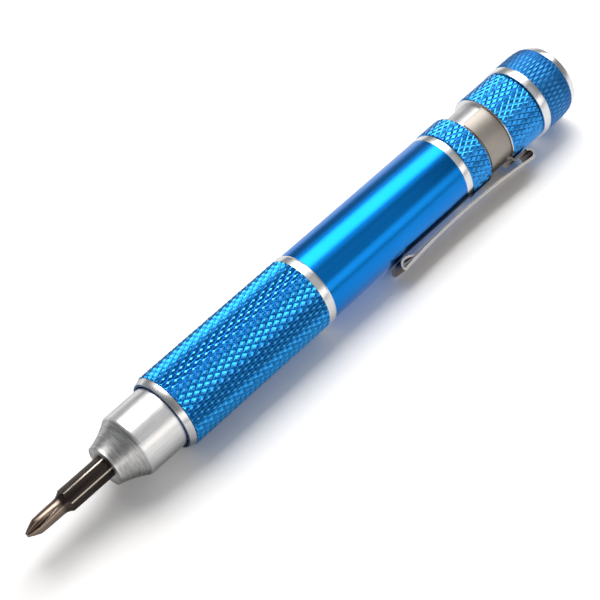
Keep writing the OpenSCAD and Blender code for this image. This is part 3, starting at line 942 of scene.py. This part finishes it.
def makeNose():
    n = nose
    mouth = n["holeRadius"] + n["rim"]
    ridge = noseTop - n["ridgeHeight"]
    flareEnd = n["flareLength"] - n["ridgeLength"]
    end = n["length"] + n["seatLength"]
    inner = noseTop - n["step"]
    e = n["rimEdge"]
    slant = e * n["rimSlant"]

    def hexagonAt(angle):
        turn = (degrees(angle) + n["bitTurn"]) % 60
        return n["flats"] / 2 / cos(radians(turn - 30))

    profile = [(0.0, n["holeRadius"]), (0.0, mouth - e), (slant, mouth - slant)]
    profile += shallowArc((n["rimLand"], mouth), (flareEnd, ridge), -n["hollow"], 24)
    profile += shallowArc((flareEnd, ridge), (n["flareLength"], noseTop), n["ridgeBow"], 6)[1:]
    profile += [
        (n["length"] - e, noseTop), (n["length"], noseTop - e), (n["length"], inner),
        (end, inner), (end, n["seatRadius"]), (end, hexagonAt), (n["mouthBevel"], hexagonAt),
        (n["mouthBevel"], n["holeRadius"] - n["mouthBevel"])]
    shell = turned("noseShell", profile, noseMaterial(), n["turningSteps"])
    settle(shell, "handle", "satin_aluminium", "nose")
    print("nose made")


makeNose()

tail = {
    "collarLength": 5.35 * mm,
    "grooveLength": 6.3 * mm,
    "tailLength": 8.75 * mm,
    "collarRadius": 7.661 * mm,
    "grooveRadius": 6.551 * mm,
    "tailRadius": 7.601 * mm,
    "edgeRun": 0.13 * mm,
    "edgeDrop": 0.12 * mm,
    "edge": 0.03 * mm,
    "bore": 3.6 * mm,
    "bushBore": 5.0 * mm,
    "bushWall": 2 * mm,
    "overlap": 0.3 * mm,
    "coreInset": 0.02 * mm,
    "coreReach": 0.05 * mm,
    "coreDrop": 0.2 * mm,
    "knurl": {
        "Diamond Length": 2.17 * mm, "Diamonds Around": 42, "Fineness": 9,
        "Depth": 0.11 * mm, "Land": 0.58, "Crown": 0.004 * mm},
    "threadRadius": 6.351 * mm,
    "threadPitch": 0.75 * mm,
    "threadDepth": 0.36 * mm,
    "threadLead": 0.3 * mm,
    "threadRun": 4.65 * mm,
    "rootGap": 0.1 * mm,
    "pointsPerPitch": 12,
    "turningSteps": 144,
    "reliefRadius": 5.5 * mm,
    "reliefReach": 0.1 * mm,
}


# A knurled band; the end next to the groove has a thin bare chamfer, the other a blue one
def knurledBand(name, start, length, radius, bareAtEnd, bore, blue):
    run, drop = tail["edgeRun"], tail["edgeDrop"]
    step = tail["knurl"]["Depth"]
    bare = start + length if bareAtEnd else start
    inward = bare + (-run if bareAtEnd else run)
    edge = turned(name + "Edge", rounded([
        (bare, bore), (bare, radius - step - drop), (inward, radius - step), (inward, bore)],
        tail["edge"]), ringMaterial)
    knurl = fromTree(name, sleeveTree, {
        **tail["knurl"], "Start": start + (0 if bareAtEnd else run), "Length": length - run,
        "Radius": radius, "Bore": bore, "Material": blue,
        "Front Drop": step + (drop if bareAtEnd else 0), "Front Run": run,
        "Rear Drop": step + (0 if bareAtEnd else drop), "Rear Run": run})
    return edge, knurl


def makeTail():
    t = tail
    end = tailHigh.x
    grooveEnd = end - t["tailLength"]
    grooveStart = grooveEnd - t["grooveLength"]
    collarStart = grooveStart - t["collarLength"]
    blue = blueMaterial("blueCollar", "evenGrain", "knurlDeep", "knurlLight", "knurlRoughness")
    for name, start, length, radius, bareAtEnd in (
            ("tailCollar", collarStart, t["collarLength"], t["collarRadius"], True),
            ("tailRear", grooveEnd, t["tailLength"], t["tailRadius"], False)):
        edge, knurl = knurledBand(
            name, start, length, radius, bareAtEnd, t["grooveRadius"] - t["overlap"], blue)
        settle(edge, "tail", "satin_aluminium", "tail_sleeve")
        settle(knurl, "tail", "blue_aluminium", "tail_sleeve")
    coreStart, coreEnd = collarStart + t["coreInset"], end - t["coreInset"]
    coreTop = t["grooveRadius"] - t["coreDrop"]
    bushEnd = grooveEnd + t["bushWall"]
    core = turned("tailGroove", rounded([
        (coreStart, t["bore"]), (coreStart, coreTop),
        (grooveStart - t["coreReach"], t["grooveRadius"]),
        (grooveEnd + t["coreReach"], t["grooveRadius"]),
        (coreEnd, coreTop), (coreEnd, t["bushBore"]),
        (bushEnd, t["bushBore"]), (bushEnd, t["bore"])], t["edge"]), materials["satinGroove"])
    settle(core, "tail", "satin_aluminium", "tail_sleeve")
    root = t["threadRadius"] - t["threadDepth"]
    first = tailLow.x + t["threadLead"]
    threadEnd = first + t["threadRun"]
    reliefEnd = collarStart + t["reliefReach"]
    count = int(t["threadRun"] / t["threadPitch"] * t["pointsPerPitch"])

    def ridgeAt(x):
        def radius(angle):
            phase = (x / t["threadPitch"] - angle / (2 * pi)) % 1.0
            return t["threadRadius"] - t["threadDepth"] * abs(2 * phase - 1)
        return radius

    places = [first + t["threadRun"] * k / count for k in range(count + 1)]
    spigot = [(tailLow.x, t["bore"]), (tailLow.x, root - t["rootGap"])]
    spigot += [(x, ridgeAt(x)) for x in places]
    spigot += [
        (threadEnd, t["reliefRadius"]), (reliefEnd, t["reliefRadius"]), (reliefEnd, t["bore"])]
    thread = turned("tailThread", spigot, ringMaterial, t["turningSteps"])
    settle(thread, "tail", "satin_aluminium", "tail_sleeve")
    print("tail made")


makeTail()

cap = {
    "ringLength": 1.84 * mm,
    "bevelLength": 1.47 * mm,
    "bevelRise": 0.4 * mm,
    "frontDrop": 0.06 * mm,
    "frontRun": 0.1 * mm,
    "knurlStep": 0.17 * mm,
    "knurlStepLength": 0.12 * mm,
    "roundLength": 2.8 * mm,
    "roundDrop": 0.27 * mm,
    "dishRadius": 5.0 * mm,
    "dishDepth": 0.6 * mm,
    "dishSteps": 12,
    "poleRadius": 0.0005 * mm,
    "bore": 5.6 * mm,
    "edge": 0.08 * mm,
    "paintedShadeDepth": 0.09 * mm,
    "knurl": {
        "Diamond Length": 2.8 * mm, "Diamonds Around": 50, "Fineness": 11,
        "Depth": 0.02 * mm, "Land": 0.5, "Crown": 0.1 * mm},
}


def makeCap():
    c = cap
    start, end = capLow.x, capHigh.x
    radius = capHigh.z
    ringEnd = start + c["ringLength"]
    bevelStart = end - c["bevelLength"]
    bevelTop = radius - c["roundDrop"] - c["knurlStep"]
    ring = turned("capRing", rounded([
        (start, c["bore"]), (start, radius), (ringEnd, radius), (ringEnd, c["bore"])],
        c["edge"]), ringMaterial)
    settle(ring, "cap", "satin_aluminium", "end_cap")
    # The cap's colour is painted darker towards the grooves of its knurling, as shade, and lighter
    # on the tops
    capBlue = blueMaterial(
        "blueCap", "evenGrain", "shadedCapValley", "litCapCrest", "capRoughness",
        (radius, c["paintedShadeDepth"]))
    knurl = fromTree("capKnurl", sleeveTree, {
        **c["knurl"], "Start": ringEnd, "Length": bevelStart - ringEnd, "Radius": radius,
        "Bore": c["bore"], "Front Drop": c["frontDrop"], "Front Run": c["frontRun"],
        "Rear Drop": c["knurlStep"], "Rear Run": c["knurlStepLength"],
        "Round Drop": c["roundDrop"], "Round Run": c["roundLength"], "Material": capBlue})
    settle(knurl, "cap", "blue_aluminium", "end_cap")
    # The bevel and the flat ring, without the far halves of the loop's first and last corners,
    # and then the dish down to the axis
    face = rounded([
        (bevelStart, c["bore"]), (bevelStart, bevelTop), (end, bevelTop - c["bevelRise"]),
        (end, c["dishRadius"])], c["edge"])[3:-2]
    for k in range(c["dishSteps"] - 1, 0, -1):
        share = k / c["dishSteps"]
        face.append((end - c["dishDepth"] * (1 - share ** 2), c["dishRadius"] * share))
    face += [(end - c["dishDepth"], c["poleRadius"]), (bevelStart, c["poleRadius"])]
    dish = turned("capFace", face, ringMaterial)
    settle(dish, "cap", "satin_aluminium", "end_cap")
    print("cap made")


makeCap()

# The clip's band keeps the edges that tumbling leaves
clipBand = {"rounding": 0.09 * mm, "segments": 3}


def makeBand():
    band = softened("clipBand", "clip_band", clipBand, materials["springNickel"])
    settle(band, "clip", "spring_nickel", "clip_band")


makeBand()

# Clip blade: angles in degrees; low is its lowest distance from the axis
clipBlade = {
    "tilt": 33,
    "thickness": 0.46 * mm,
    "width": 5.4 * mm,
    "edge": 0.1 * mm,
    "start": (103.09 * mm, 7.931 * mm),
    "bowRadius": 170 * mm,
    "rearLength": 20.05 * mm,
    "frontLength": 15.8 * mm,
    "low": 8.621 * mm,
    "foldRadius": 0.35 * mm,
    "toeTop": 7.811 * mm,
    "footRadius": 3.6 * mm,
    "footAngle": 24,
    "lip": 0.8 * mm,
}


def makeBlade():
    c = clipBlade
    bow = c["bowRadius"]
    dip, rise = asin(c["rearLength"] / bow), asin(c["frontLength"] / bow)
    high = c["low"] + bow * (1 - cos(dip))
    tip = c["low"] + bow * (1 - cos(rise))
    walk = [(*c["start"], 0.0)]
    # The bend at the rear, the bow, the fold, the toe and the foot
    bend(walk, (high - c["start"][1]) / (1 + cos(dip)), pi + dip, 24)
    bend(walk, bow, -dip - rise, 40)
    bend(walk, c["foldRadius"], pi / 2 + rise, 12)
    bend(walk, tip - c["toeTop"] - c["foldRadius"] * cos(rise), pi / 2, 16)
    bend(walk, c["footRadius"], radians(c["footAngle"]), 10)
    walk.append(ahead(walk[-1], c["lip"]))
    # The blade's faces take painted shade and its narrow sides a painted highlight
    sheet = swept(
        "clipSpring", walk, clipBlade, materials["shadedBladeNickel"], materials["litBladeEdge"])
    settle(sheet, "clip_blade", "spring_nickel", "clip_arm")


makeBlade()

# The fitted bit's worn edges
fittedBit = {"rounding": 0.09 * mm, "segments": 2}


def makeFittedBit():
    bit = softened(
        "fittedBit", "fitted_bit", fittedBit, bitMaterial(), materials["wornSteel"])
    settle(bit, "bit", "tool_steel", "fitted_bit")


makeFittedBit()
print("clip and bit made")

# The CAD nodes get their materials; those not named here are steel
looks = {
    "clip_band": "springNickel",
    "clip_arm": "springNickel",
    "bit_rack": "blackPlastic",
    "tail_seal_ring": "blackRubber",
    "rack_pad": "blackRubber",
    "pivot_bush": "brass",
    "pivot_pin": "pinSteel",
    "retaining_ring": "pinSteel",
    "thrust_washer": "paleWasher",
    "socket_magnet": "magnetNickel",
}
for name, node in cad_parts.items():
    node.data.materials.clear()
    node.data.materials.append(materials[looks.get(name, "toolSteel")])
print("materials given to the CAD nodes")

scene.view_settings.view_transform = "Standard"
